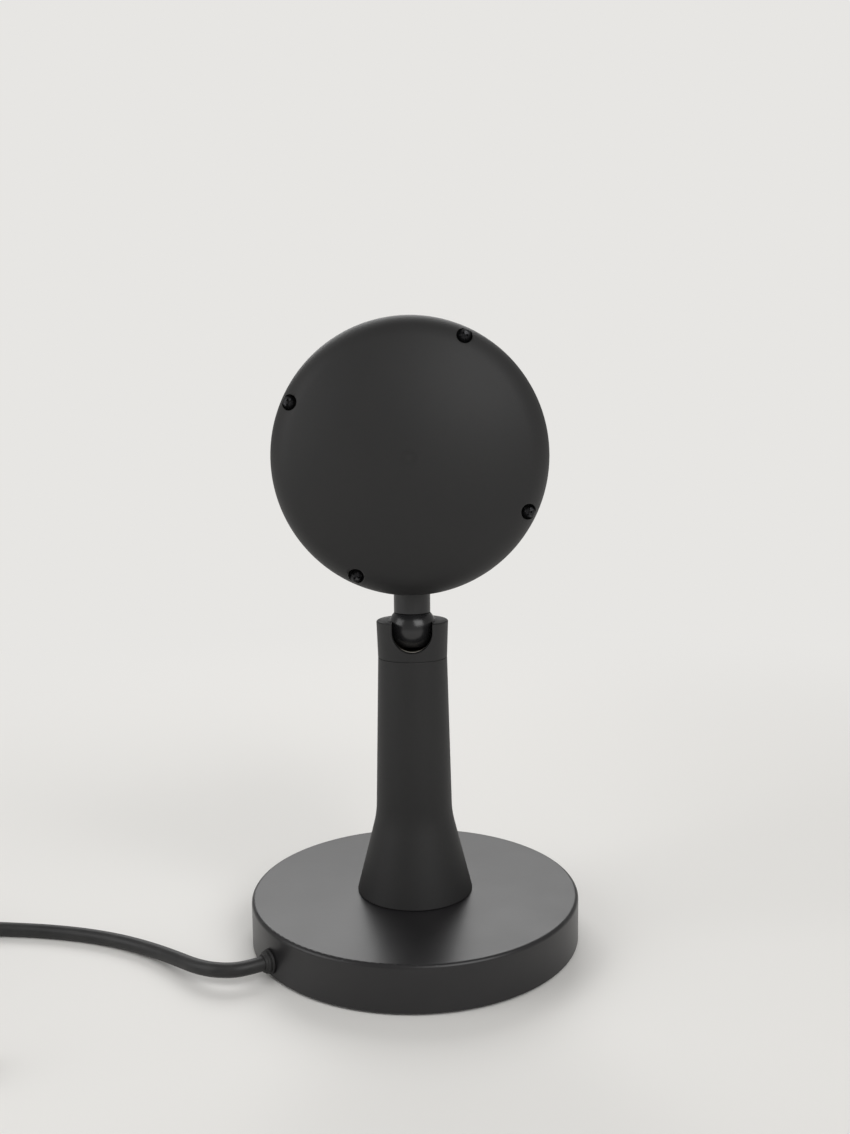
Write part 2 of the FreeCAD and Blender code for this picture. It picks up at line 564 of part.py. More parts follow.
def light_engine():
    tube_wall = 1.3
    lighter = head_turned([
        (TUBE_BORE, WEB_FRONT), (19.6, WEB_FRONT), (19.6, 2.5, 0.3), (TUBE_BORE + tube_wall, 2.5),
        (TUBE_BORE + tube_wall, -5.8), (LENS_R - 4.2, -11.6), (LENS_R - 5.6, -11.6), (TUBE_BORE, -6.9)])
    lighter = lighter.cut(block((-2.6, -1.0, HEAD_Z - 21), (2.6, WEB_FRONT + 1, HEAD_Z - 10)))
    tube_screws = []
    for angle in (30, 150):
        lighter = lighter.cut(rod(1.15, on_head(TUBE_SCREW_R, angle, 0), BACK, 9))
        tube_screws.append(pan_screw(on_head(TUBE_SCREW_R, angle, 2.5), BACK * -1, 1.8, 1.1, 1.0, 3.4))
    keep("light_tube", lighter)
    keep("tube_screws", group(tube_screws))

    keep("reflector", head_turned([(5.0, 1.9), (5.9, 1.9), (12.6, -3.2), (TUBE_BORE - FIT, -3.2),
                                   (TUBE_BORE - FIT, -4.2), (12.2, -4.2), ("by", 8.0, -2.4)]))
    keep("filter_disc", head_turned([(0, -4.3), (TUBE_BORE - FIT, -4.3), (TUBE_BORE - FIT, -5.4), (0, -5.4)]))
    keep("filter_ring", head_turned([(12.2, -5.5), (TUBE_BORE - SLIDE, -5.5), (TUBE_BORE - SLIDE, -6.7, 0.2), (12.2, -6.7, 0.2)]))

    board = head_turned([(0, 4.5), (BOARD_R, 4.5), (BOARD_R, 3.0), (0, 3.0)])
    board_screws = []
    for angle in (0, 180):
        board = board.cut(rod(1.35, on_head(10.2, angle, 0), BACK, 9))
        board_screws.append(pan_screw(on_head(10.2, angle, 3.0), BACK * -1, 2.1, 1.2, 1.2, 5.0))
    keep("led_board", board)
    keep("board_screws", group(board_screws))
    emitter = block((-5.5, 2.2, HEAD_Z - 5.5), (5.5, 3.0, HEAD_Z + 5.5))
    keep("led_emitter", emitter.fuse(rod(4.6, Vector(0, 1.95, HEAD_Z), BACK, 0.5)).removeSplitter())

    sink = head_turned([(0, 4.5), (15.4, 4.5, 0.3), (15.4, WEB_BACK), (SINK_R, WEB_BACK), (SINK_R, 9.0, 0.4), (0, 9.0)])
    rim = head_turned([(0, 8.0), (SINK_R, 8.0), (SINK_R, SINK_BACK), (0, SINK_BACK)])
    fins = []
    for fin in range(SINK_FINS):
        middle = (fin - (SINK_FINS - 1) / 2) * SINK_FIN_STEP
        fins.append(block((middle - SINK_FIN_T / 2, 8.5, HEAD_Z - 30), (middle + SINK_FIN_T / 2, SINK_BACK, HEAD_Z + 30)))
    sink = sink.multiFuse([fin.common(rim) for fin in fins])
    sink_screws = []
    for angle in (90, 210, 330):
        sink = sink.cut(rod(1.25, on_head(SINK_SCREW_R, angle, 0), BACK, 8.6))
        sink_screws.append(pan_screw(on_head(SINK_SCREW_R, angle, WEB_FRONT), BACK * -1, 2.0, 1.2, 1.2, 4.4))
    for angle in (0, 180):
        sink = sink.cut(rod(1.25, on_head(10.2, angle, 0), BACK, 8.6))
    keep("heat_sink", sink.removeSplitter())
    keep("sink_screws", group(sink_screws))

    leads = []
    for side in (-1, 1):
        route = [Vector(0.9 * side, 0, 92.0), Vector(0.9 * side, 0.2, 104.0), Vector(0.9 * side, 0, 117.0),
                 Vector(1.1 * side, 1.2, 124.0), Vector(1.4 * side, 1.9, 129.5), Vector(1.6 * side, 2.2, 135.0)]
        leads.append(tube("head lead", route, 0.7))
    keep("head_leads", group(leads))


# =====================================================================================
# the cord on the table: switch, coil and plug
# =====================================================================================
def coil_spot(turn):
    """The coil's centre line after so many turns: in and out again at a steady rate, a layer up at
    each reversal."""
    per_layer = COIL_TURNS / COIL_LAYERS
    soft = 0.25
    reach = COIL_STEP * per_layer / 2
    wave = abs((turn / per_layer + 1) % 2 - 1) * per_layer
    for edge in (0.0, per_layer):
        if abs(wave - edge) < soft and 0.3 < turn < COIL_TURNS - 0.3:
            gap = abs(wave - edge)
            rounded = gap ** 2 / (2 * soft) + soft / 2
            wave = rounded if edge == 0.0 else per_layer - rounded
            break
    radius = COIL_MEAN_R + reach - COIL_STEP * wave
    climb = 0.0
    for layer in range(1, COIL_LAYERS):
        share = min(max((turn - layer * per_layer) / 0.5 + 0.5, 0), 1)
        climb += share * share * (3 - 2 * share)
    low = CORD_R + TIE_T + SLIDE
    return Vector(COIL_X, COIL_Y, 0) + polar(radius, 360 * turn, low + COIL_STEP * climb)


def coil_way(turn):
    step = 0.002
    before = max(turn - step, 0)
    after = min(turn + step, COIL_TURNS)
    return (coil_spot(after) - coil_spot(before)).normalize()


def coil():
    edges = []
    start = coil_spot(0)
    edges.append(Part.LineSegment(start - coil_way(0) * CORD_D, start).toShape())
    quarters = int(COIL_TURNS * 4)
    for quarter in range(quarters):
        a = quarter / 4
        b = a + 0.25
        edges += biarc(coil_spot(a), coil_way(a), coil_spot(b), coil_way(b))
    end = coil_spot(COIL_TURNS)
    edges.append(Part.LineSegment(end, end + coil_way(COIL_TURNS) * CORD_D).toShape())
    solid, length = swept(edges, CORD_R)
    keep("cord_coil", solid)
    samples = 40
    line = [coil_spot(k / samples) for k in range(int(COIL_TURNS * samples) + 1)]
    least = min((line[i] - line[j]).Length for i in range(len(line)) for j in range(i + samples // 2, len(line)))
    whole = math.pi * CORD_R ** 2 * length
    print("cord_coil length %.1f, least gap to itself %.2f, volume ratio %.4f" % (
        length, least - CORD_D, abs(solid.Volume) / whole))


def coil_tie():
    """A flat tie round one side of the coil, its ends twisted together on top."""
    reach = COIL_STEP * COIL_TURNS / COIL_LAYERS / 2 + CORD_R + 0.2
    top = 2 * CORD_R + COIL_STEP * (COIL_LAYERS - 1) + TIE_T + 0.15
    inner = [(COIL_MEAN_R - reach, TIE_T, 2.0), (COIL_MEAN_R + reach, TIE_T, 2.0),
             (COIL_MEAN_R + reach, top, 2.0), (COIL_MEAN_R - reach, top, 2.0)]
    outer = [(COIL_MEAN_R - reach - TIE_T, 0, 2.6), (COIL_MEAN_R + reach + TIE_T, 0, 2.6),
             (COIL_MEAN_R + reach + TIE_T, top + TIE_T, 2.6), (COIL_MEAN_R - reach - TIE_T, top + TIE_T, 2.6)]
    band = Part.Face(outline(outer)).extrude(UP * TIE_W).cut(Part.Face(outline(inner)).extrude(UP * TIE_W))
    band.translate(Vector(0, 0, -TIE_W / 2))
    band.rotate(Vector(0, 0, 0), Vector(1, 0, 0), 90)
    sections = []
    for step in range(7):
        wire = Part.makePolygon([Vector(u * 1.5, v * TIE_T, 0) for u, v in ((-1, -1), (1, -1), (1, 1), (-1, 1), (-1, -1))])
        wire.rotate(Vector(0, 0, 0), UP, 60 * step)
        wire.translate(UP * (1.6 * step))
        sections.append(wire)
    tail = Part.makeLoft(sections, True, True)
    tail.rotate(Vector(0, 0, 0), BACK, 68)
    tail.translate(Vector(COIL_MEAN_R - 1.5, 0, top + TIE_T + 0.4))
    tie = band.fuse(tail)
    tie.Placement = FreeCAD.Placement(Vector(COIL_X, COIL_Y, 0), Rotation(UP, TIE_ANGLE))
    keep("cord_tie", tie)


def switch_shell(drawn_in, low, high, edge):
    """One half of the switch's case, pinched towards its ends and rounded on its outer rim."""
    half_l = SWITCH_L / 2 - drawn_in
    half_w = SWITCH_W / 2 - drawn_in
    end_w = SWITCH_END_W / 2 - drawn_in
    face = Part.Face(outline([
        (-half_l, -end_w), (-half_l * 0.74, -end_w), ("by", -half_l * 0.56, -half_w * 0.88), (-half_l * 0.34, -half_w),
        (half_l * 0.34, -half_w), ("by", half_l * 0.56, -half_w * 0.88), (half_l * 0.74, -end_w), (half_l, -end_w),
        (half_l, end_w), (half_l * 0.74, end_w), ("by", half_l * 0.56, half_w * 0.88), (half_l * 0.34, half_w),
        (-half_l * 0.34, half_w), ("by", -half_l * 0.56, half_w * 0.88), (-half_l * 0.74, end_w), (-half_l, end_w)]))
    solid = face.extrude(UP * (high - low))
    solid.translate(Vector(0, 0, low))
    outer = high if edge > 0 else low
    rims = [e for e in solid.Edges if abs(e.BoundBox.ZMin - outer) < 0.01 and abs(e.BoundBox.ZMax - outer) < 0.01]
    return solid.makeFillet(abs(edge), rims)


def oval(length, width, low, high):
    straight = length - width
    middle = block((-straight / 2, -width / 2, low), (straight / 2, width / 2, high))
    ends = [rod(width / 2, Vector(straight / 2 * side, 0, low), UP, high - low) for side in (-1, 1)]
    return middle.multiFuse(ends).removeSplitter()


def switch():
    middle = SWITCH_H / 2
    wall = 1.5
    hollow = block((-12, -5.4, wall), (12, 5.4, SWITCH_H - wall))
    lower = switch_shell(0, 0, middle, -1.2).cut(hollow)
    upper = switch_shell(0, middle + 0.02, SWITCH_H, 2.0).cut(hollow)
    upper = upper.cut(oval(BUTTON_L + 0.4, BUTTON_W + 0.4, middle, SWITCH_H + 1))
    button = oval(BUTTON_L, BUTTON_W, middle + 2.5, SWITCH_H + 1.7)
    crown = [e for e in button.Edges if e.BoundBox.ZMin > SWITCH_H + 1.6]
    button = button.makeFillet(0.8, crown)
    button = button.fuse(oval(BUTTON_L + 1.8, BUTTON_W + 1.8, middle + 2.3, middle + 3.2)).removeSplitter()
    core = block((-5, -4, wall), (5, 4, middle + 0.8))
    for name, shape in (("switch_case_lower", lower), ("switch_case_upper", upper),
                        ("switch_button", button), ("switch_core", core)):
        shape.translate(Vector(SWITCH_X, SWITCH_Y, 0))
        keep(name, shape)


def plug():
    """The plug lies flat beside the coil and points towards -X, from the end of its cord."""
    rear = plug_rear()
    body = block((-PLUG_L, -PLUG_W / 2, -PLUG_H / 2), (-5.0, PLUG_W / 2, PLUG_H / 2))
    long_edges = [e for e in body.Edges if e.BoundBox.XLength > 10]
    body = body.makeFillet(2.6, long_edges)
    grooves = []
    for k in range(4):
        x = -10.0 - 2.6 * k
        for side in (-1, 1):
            y = side * PLUG_W / 2
            grooves.append(rod(0.6, Vector(x, y, -1.6), UP, 3.2))
    body = body.cut(group(grooves))
    relief = Part.makeCone(CORD_R + 0.5, 3.6, 5.2, Vector(0, 0, 0), Vector(-1, 0, 0))
    slits = [rod(5, Vector(-1.2 - 1.5 * k, 0, 0), Vector(-1, 0, 0), 0.6).cut(
        rod(CORD_R + 0.35, Vector(-1.0 - 1.5 * k, 0, 0), Vector(-1, 0, 0), 1.0)) for k in range(2)]
    body = body.fuse(relief.cut(group(slits))).removeSplitter()
    shell = block((-PLUG_L - SHELL_L, -SHELL_W / 2, -SHELL_H / 2), (-PLUG_L, SHELL_W / 2, SHELL_H / 2))
    shell_edges = [e for e in shell.Edges if e.BoundBox.XLength > 10]
    shell = shell.makeFillet(0.6, shell_edges)
    shell = shell.cut(block((-PLUG_L - SHELL_L - 1, -SHELL_W / 2 + SHELL_T, -SHELL_H / 2 + SHELL_T),
                            (-PLUG_L, SHELL_W / 2 - SHELL_T, SHELL_H / 2 - SHELL_T)))
    for side in (-1, 1):
        shell = shell.cut(block((-PLUG_L - 8.2, side * 2.9 - 1.1, 0), (-PLUG_L - 6.0, side * 2.9 + 1.1, 4)))
    tongue = block((-PLUG_L - SHELL_L + 0.6, -SHELL_W / 2 + SHELL_T + 0.05, -SHELL_H / 2 + SHELL_T + 0.03),
                   (-PLUG_L, SHELL_W / 2 - SHELL_T - 0.05, -0.1))
    contacts = [block((-PLUG_L - SHELL_L + 1.6, y - 0.5, -0.1), (-PLUG_L - 1, y + 0.5, 0.05))
                for y in (-3.5, -1.0, 1.0, 3.5)]
    for name, shape in (("plug_body", body), ("plug_shell", shell), ("plug_tongue", tongue),
                        ("plug_contacts", group(contacts))):
        shape.translate(rear)
        keep(name, shape)


def plug_rear():
    end = coil_spot(COIL_TURNS)
    return Vector(end.x - 57.0, end.y - 1.4, PLUG_Z)


def cord_runs():
    out = polar(1, EXIT_ANGLE)
    exit_at = polar(GROMMET_OUT, EXIT_ANGLE, EXIT_Z)
    near = SWITCH_X - SWITCH_L / 2
    far = SWITCH_X + SWITCH_L / 2
    height = SWITCH_H / 2
    lead = [exit_at, exit_at + out * 6.0, Vector(54.6, 33.6, 4.75), Vector(61.4, 30.2, 4.2), Vector(68.2, 23.9, 3.3),
            Vector(77.0, 16.8, 2.5), Vector(88.2, 10.2, 2.1), Vector(100.4, 5.7, 2.05), Vector(112.8, 2.9, 2.05),
            Vector(123.4, 1.5, 2.05), Vector(131.2, 1.2, 2.3), Vector(138.0, 1.3, 3.6),
            Vector(144.6, SWITCH_Y, height), Vector(near, SWITCH_Y, height)]
    keep("cord_lead", tube("cord_lead", lead, CORD_R))

    start = coil_spot(0)
    way = coil_way(0)
    meet = start - way * CORD_D
    middle = [Vector(far, SWITCH_Y, height), Vector(204.0, 1.5, height), Vector(212.3, 4.3, 3.7), Vector(219.2, 9.5, 2.9),
              Vector(224.4, 16.6, 2.7), Vector(227.2, 25.4, 2.7), meet - way * 10.4, meet]
    keep("cord_middle", tube("cord_middle", middle, CORD_R))

    end = coil_spot(COIL_TURNS)
    way = coil_way(COIL_TURNS)
    leave = end + way * CORD_D
    rear = plug_rear()
    tail = [leave, leave + way * 8.0, Vector(end.x - 22.5, end.y - 0.8, end.z - 2.6),
            Vector(end.x - 33.0, end.y - 1.1, end.z - 8.6), Vector(end.x - 43.0, end.y - 1.3, PLUG_Z + 0.4),
            Vector(end.x - 50.5, rear.y, PLUG_Z), rear]
    keep("cord_end", tube("cord_end", tail, CORD_R))


os.makedirs("parts", exist_ok=True)
base()
base_cord()
post()
spring()
ball_and_neck()
rear_cover()
head_band()
front()
light_engine()
switch()
coil()
coil_tie()
plug()
cord_runs()
for name, shape in parts.items():
    shape.exportStep("parts/%s.step" % name)
print(len(parts), "parts")
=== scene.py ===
import json
import math

import bmesh
import bpy
from mathutils import Matrix, Vector


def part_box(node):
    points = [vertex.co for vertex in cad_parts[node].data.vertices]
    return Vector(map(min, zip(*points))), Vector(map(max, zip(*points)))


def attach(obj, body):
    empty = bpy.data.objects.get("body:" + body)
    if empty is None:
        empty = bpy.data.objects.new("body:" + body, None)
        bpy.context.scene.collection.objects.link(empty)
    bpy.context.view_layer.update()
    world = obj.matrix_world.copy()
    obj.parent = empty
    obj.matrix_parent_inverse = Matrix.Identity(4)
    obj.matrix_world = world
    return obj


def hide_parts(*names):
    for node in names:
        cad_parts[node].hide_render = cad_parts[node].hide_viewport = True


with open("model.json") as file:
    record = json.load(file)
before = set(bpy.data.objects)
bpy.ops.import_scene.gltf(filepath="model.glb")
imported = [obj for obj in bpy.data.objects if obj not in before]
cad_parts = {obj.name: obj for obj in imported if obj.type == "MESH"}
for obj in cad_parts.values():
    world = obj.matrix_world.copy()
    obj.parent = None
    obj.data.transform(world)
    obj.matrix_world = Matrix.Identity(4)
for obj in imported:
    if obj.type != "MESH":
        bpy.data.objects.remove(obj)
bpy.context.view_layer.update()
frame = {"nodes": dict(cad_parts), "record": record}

# The look of a small projection lamp: a round head on a ball joint, a tapered post, a weighted
# base, and a cord with a switch, a coil and a plug. Shapes are made in millimetres and become
# metres when they are set in place. +Z is up, the lens looks towards -Y.

MM = 0.001


def span(node):
    """A node's lowest and highest corners in millimetres."""
    low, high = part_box(node)
    return low / MM, high / MM


# ---- sizes of the solids ----
base_high = span("base_housing")[1]
BASE_R = base_high.x
BASE_TOP = base_high.z
BASE_WALL = 2.0
BASE_EDGE = 1.1

head_low, head_high = span("head_band")
HEAD_R = head_high.x
HEAD_Z = (head_low.z + head_high.z) / 2

lens_low, lens_high = span("lens")
LENS_R = lens_high.x
LENS_SEAT = lens_high.y
LENS_EDGE = -14.8
LENS_TIP = lens_low.y
LENS_BULGE_R = 25.6
TUBE_BORE = 14.0
tube_low, tube_high = span("light_tube")
TUBE_WALL = 1.3
TUBE_WAIST = -5.8
TUBE_FLANGE = 2.5
TUBE_STEPS = 8
TUBE_STEPS_FROM = -6.9
MOUTH_IN = 5.6
MOUTH_OUT = 4.2
REFLECTOR_GAP = 0.1
REFLECTOR_FOOT = 1.9
REFLECTOR_LIP = -3.2
REFLECTOR_FACE = -4.2
CHIP_SIDE = 11.0
CHIP_CORNER = 0.7
CHIP_T = 0.8
CHIP_FACE = 2.2
PHOSPHOR_R = 4.6
DAM_TOP = 1.95

ball_high = span("ball")[1]
BALL_R = ball_high.x
BALL_Z = 95.2

CORD_D = 4.1
EXIT_ANGLE = 35.0
EXIT_Z = 4.9
GROMMET_OUT = 52.4

switch_low, switch_high = span("switch_case_lower")
SWITCH_Y = (switch_low.y + switch_high.y) / 2
SWITCH_H = 2 * switch_high.z

COIL_X = 199.2
COIL_Y = 50.0
COIL_MEAN_R = 23.0
COIL_STEP = 4.65
COIL_LAYERS = 4
COIL_TURNS = 8.25
TIE_T = 0.6
TIE_GAP = 0.05
COIL_POINTS = 20
COIL_TURNING = 0.25
COIL_ENDS = 0.3
COIL_CLIMB = 0.5

PLUG_Z = 4.0


def polar(radius, degrees, z=0.0):
    angle = math.radians(degrees)
    return Vector((radius * math.cos(angle), radius * math.sin(angle), z))


# =====================================================================================
# finishes
# =====================================================================================
class Number:
    """A socket that carries a number. Arithmetic on it adds Math nodes to its finish."""

    def __init__(self, finish, socket):
        self.finish = finish
        self.socket = socket

    def joined(self, operation, first, second):
        node = self.finish.node("ShaderNodeMath", {"operation": operation}, {0: first, 1: second})
        return Number(self.finish, node.outputs[0])

    def __add__(self, other):
        return self.joined("ADD", self, other)

    __radd__ = __add__

    def __mul__(self, other):
        return self.joined("MULTIPLY", self, other)

    __rmul__ = __mul__

    def between(self, low, high):
        """0 below low, 1 above high, and a smooth rise in between."""
        node = self.finish.node("ShaderNodeMapRange", {"interpolation_type": "SMOOTHSTEP"},
                                {"Value": self, "From Min": low, "From Max": high})
        return Number(self.finish, node.outputs["Result"])


class Finish:
    """A material of the lamp, with what its surface needs."""

    def __init__(self, name, colour, roughness, **constants):
        self.material = bpy.data.materials.new(name)
        self.material.use_nodes = True
        self.tree = self.material.node_tree
        self.surface = self.tree.nodes["Principled BSDF"]
        self.colour(colour)
        self.set("Roughness", roughness)
        for socket, value in constants.items():
            self.set(socket.replace("_", " "), value)

    def node(self, kind, settings=None, sockets=None):
        node = self.tree.nodes.new(kind)
        for setting, value in (settings or {}).items():
            setattr(node, setting, value)
        for socket, value in (sockets or {}).items():
            self.feed(node.inputs[socket], value)
        return node

    def feed(self, socket, value):
        if isinstance(value, Number):
            value = value.socket
        if isinstance(value, bpy.types.NodeSocket):
            self.tree.links.new(value, socket)
        else:
            socket.default_value = value

    def set(self, socket, value):
        self.feed(self.surface.inputs[socket], value)

    def colour(self, value):
        self.set("Base Color", value if isinstance(value, bpy.types.NodeSocket) else (*value, 1.0))

    def place(self, centre=(0, 0, 0), keep=(1, 1, 1)):
        """Where a point of the piece is, in millimetres from a centre, along the kept axes."""
        spot = self.node("ShaderNodeTexCoord").outputs["Object"]
        moved = self.node("ShaderNodeVectorMath", {"operation": "MULTIPLY_ADD"},
                          {0: spot, 1: [k / MM for k in keep], 2: [-c * k for c, k in zip(centre, keep)]})
        return moved.outputs[0]

    def distance(self, centre=(0, 0, 0), keep=(1, 1, 1)):
        """How far a point is from a centre, or from an axis through it, in millimetres."""
        node = self.node("ShaderNodeVectorMath", {"operation": "LENGTH"}, {0: self.place(centre, keep)})
        return Number(self, node.outputs["Value"])

    def along(self, axis):
        """A point's height along X, Y or Z, in millimetres."""
        node = self.node("ShaderNodeSeparateXYZ", {}, {0: self.place()})
        return Number(self, node.outputs[axis])

    def grain(self, size, detail=2.0, keep=(1, 1, 1)):
        """Noise with features of about a size in millimetres, from 0 to 1."""
        node = self.node("ShaderNodeTexNoise", {},
                         {"Vector": self.place(keep=keep), "Scale": 1 / size, "Detail": detail})
        return Number(self, node.outputs["Fac"])

    def mixed(self, share, first, second):
        """A colour that goes from first to second."""
        ends = [colour if isinstance(colour, bpy.types.NodeSocket) else (*colour, 1.0)
                for colour in (first, second)]
        node = self.node("ShaderNodeMix", {"data_type": "RGBA"}, {0: share, 6: ends[0], 7: ends[1]})
        return node.outputs[2]

    def relief(self, height, depth, strength=1.0):
        """Raise the surface by up to a depth in millimetres."""
        node = self.node("ShaderNodeBump", {},
                         {"Strength": strength, "Distance": depth * MM, "Height": height})
        self.set("Normal", node.outputs[0])


def satin_paint(slot):
    """The base's sprayed paint: satin, with a faint orange peel and a few rubbed spots on its edge."""
    paint = Finish(slot, (0.012, 0.012, 0.013), 0.33, Specular_IOR_Level=0.45)
    peel = paint.grain(1.1, 1.0)
    cloud = paint.grain(14.0, 3.0)
    outer = paint.distance(keep=(1, 1, 0)).between(BASE_R - BASE_EDGE, BASE_R - 0.2)
    upper = paint.along("Z").between(BASE_TOP - BASE_EDGE, BASE_TOP - 0.3)
    rubbed = outer * upper * paint.grain(1.6, 4.0).between(0.60, 0.72)
    sprayed = paint.mixed(cloud, (0.010, 0.010, 0.011), (0.016, 0.015, 0.016))
    paint.colour(paint.mixed(rubbed, sprayed, (0.032, 0.032, 0.034)))
    paint.set("Roughness", 0.30 + cloud * 0.09 + rubbed * 0.15)
    paint.relief(peel + paint.grain(0.25, 2.0) * 0.3, 0.012, 0.5)
    return paint.material


def powder_coat(slot):
    """Fine matte powder coat: an even small grain."""
    coat = Finish(slot, (0.012, 0.012, 0.012), 0.55, Specular_IOR_Level=0.4)
    cloud = coat.grain(18.0, 3.0)
    speck = coat.grain(0.5, 2.0)
    coat.colour(coat.mixed(cloud, (0.009, 0.009, 0.0095), (0.015, 0.0145, 0.0145)))
    coat.set("Roughness", 0.50 + cloud * 0.08 + speck * 0.08)
    coat.relief(speck + coat.grain(0.18, 1.0) * 0.5, 0.02, 0.6)
    return coat.material


def smooth_black(slot, roughness):
    """Smooth paint on a turned part, with the lathe's fine rings just showing."""
    paint = Finish(slot, (0.015, 0.015, 0.016), roughness)
    cloud = paint.grain(6.0, 3.0)
    rings = paint.grain(0.12, 1.0, keep=(0, 0, 1))
    paint.colour(paint.mixed(cloud, (0.012, 0.012, 0.013), (0.02, 0.02, 0.021)))
    paint.set("Roughness", roughness - 0.04 + cloud * 0.08)
    paint.relief(rings, 0.004, 0.5)
    return paint.material


def anodised(slot):
    """Black anodised aluminium, turned on its face."""
    skin = Finish(slot, (0.02, 0.02, 0.022), 0.34, Metallic=0.6)
    rings = skin.node("ShaderNodeTexNoise", {"noise_dimensions": "1D"},
                      {"W": skin.distance((0, 0, HEAD_Z), (1, 0, 1)), "Scale": 9.0, "Detail": 2.0})
    turned = Number(skin, rings.outputs["Fac"])
    skin.colour(skin.mixed(turned, (0.016, 0.016, 0.018), (0.034, 0.034, 0.037)))
    skin.set("Roughness", 0.28 + turned * 0.14)
    skin.relief(turned, 0.006, 0.6)
    return skin.material


def cast_iron(slot):
    iron = Finish(slot, (0.09, 0.088, 0.085), 0.75, Metallic=0.7)
    lump = iron.grain(2.2, 5.0)
    rust = iron.grain(9.0, 5.0).between(0.56, 0.7)
    iron.colour(iron.mixed(rust, (0.09, 0.088, 0.085), (0.13, 0.075, 0.05)))
    iron.set("Roughness", 0.62 + lump * 0.25)
    iron.relief(lump, 0.25, 0.8)
    return iron.material


def bright_steel(slot, colour, roughness):
    """Zinc or nickel plate on steel: a little cloudy, with hairline scratches."""
    steel = Finish(slot, colour, roughness, Metallic=1.0)
    cloud = steel.grain(4.0, 4.0)
    scratch = steel.grain(0.15, 2.0, keep=(0.06, 1, 1))
    dull = tuple(c * 0.8 for c in colour)
    steel.colour(steel.mixed(cloud.between(0.35, 0.7), dull, colour))
    steel.set("Roughness", roughness - 0.06 + cloud * 0.12 + scratch * 0.08)
    steel.relief(scratch, 0.004, 0.4)
    return steel.material


def black_oxide(slot):
    """Black screws, with bare steel in scattered small spots, as where a driver has touched them."""
    oxide = Finish(slot, (0.03, 0.03, 0.032), 0.36, Metallic=0.8)
    touched = oxide.grain(0.7, 3.0).between(0.55, 0.75)
    oxide.colour(oxide.mixed(touched, (0.024, 0.024, 0.026), (0.085, 0.085, 0.09)))
    oxide.set("Roughness", 0.30 + oxide.grain(0.3, 2.0) * 0.15)
    oxide.relief(oxide.grain(0.25, 2.0), 0.01, 0.5)
    return oxide.material


def foam(slot):
    """Closed-cell foam: small dark pores in a dull sheet."""
    sheet = Finish(slot, (0.02, 0.02, 0.02), 0.9, Specular_IOR_Level=0.25)
    cells = sheet.node("ShaderNodeTexVoronoi", {"feature": "F1"},
                       {"Vector": sheet.place(), "Scale": 2.2, "Randomness": 1.0})
    pore = Number(sheet, cells.outputs["Distance"]).between(0.1, 0.5)
    sheet.colour(sheet.mixed(pore, (0.008, 0.008, 0.008), (0.026, 0.026, 0.026)))
    sheet.relief(pore, 0.08, 0.9)
    return sheet.material


def soft_black(slot, roughness):
    """Soft moulded or extruded black, with a faint bloom and handling marks."""
    skin = Finish(slot, (0.014, 0.014, 0.0145), roughness, Specular_IOR_Level=0.42)
    bloom = skin.grain(7.0, 4.0)
    fine = skin.grain(0.22, 1.0)
    skin.colour(skin.mixed(bloom.between(0.4, 0.75), (0.011, 0.011, 0.0115), (0.021, 0.0205, 0.0205)))
    skin.set("Roughness", roughness - 0.05 + bloom * 0.12)
    skin.relief(fine, 0.008, 0.5)
    return skin.material


def moulded(slot, colour, roughness, spark=0.012):
    """Injection-moulded plastic with the fine spark texture of its tool."""
    plastic = Finish(slot, colour, roughness)
    texture = plastic.grain(0.28, 2.0)
    cloud = plastic.grain(11.0, 2.0)
    lighter = tuple(min(c * 1.25 + 0.002, 1) for c in colour)
    plastic.colour(plastic.mixed(cloud, colour, lighter))
    plastic.set("Roughness", roughness - 0.04 + texture * 0.10)
    plastic.relief(texture, spark, 0.6)
    return plastic.material


def greased_nylon(slot):
    """The ball's nylon seat, with dark grease where the ball runs."""
    nylon = Finish(slot, (0.66, 0.63, 0.56), 0.45)
    smear = nylon.grain(1.5, 3.0) * 0.8
    clean = (nylon.distance((0, 0, BALL_Z)) + smear).between(BALL_R + 1.0, BALL_R + 2.6)
    nylon.colour(nylon.mixed(clean, (0.022, 0.019, 0.016), (0.66, 0.63, 0.56)))
    nylon.set("Roughness", 0.22 + clean * 0.26)
    nylon.relief(nylon.grain(0.3, 2.0), 0.008, 0.5)
    return nylon.material


def clear_glass(slot):
    """The pressed lens: clear, with the slightest ripple of pressing."""
    glass = Finish(slot, (0.97, 0.985, 0.98), 0.015, Transmission_Weight=1.0, IOR=1.5)
    glass.relief(glass.grain(9.0, 1.0), 0.01, 0.25)
    return glass.material


def filter_glass(slot):
    """The coloured disc that makes the orange light, a deeper red towards its edge."""
    glass = Finish(slot, (1.0, 0.42, 0.08), 0.05, Transmission_Weight=1.0, IOR=1.5)
    reach = glass.distance((0, 0, HEAD_Z), (1, 0, 1)).between(6.0, 14.0)
    glass.colour(glass.mixed(reach, (1.0, 0.50, 0.10), (0.95, 0.20, 0.03)))
    return glass.material


def mirror_metal(slot):
    bright = Finish(slot, (0.86, 0.86, 0.87), 0.1, Metallic=1.0)
    haze = bright.grain(1.4, 3.0)
    bright.set("Roughness", 0.06 + haze * 0.10)
    bright.relief(bright.grain(0.8, 1.0), 0.01, 0.3)
    return bright.material


def phosphor(slot):
    """The yellow phosphor of the lit chip."""
    layer = Finish(slot, (0.85, 0.66, 0.12), 0.6, Emission_Strength=1.6)
    fine = layer.grain(0.3, 3.0)
    layer.colour(layer.mixed(fine, (0.80, 0.58, 0.08), (0.92, 0.74, 0.18)))
    middle = layer.distance((0, 0, HEAD_Z), (1, 0, 1)).between(2.0, 5.0)
    layer.set("Emission Color", layer.mixed(middle, (1.0, 0.86, 0.55), (0.9, 0.55, 0.16)))
    return layer.material


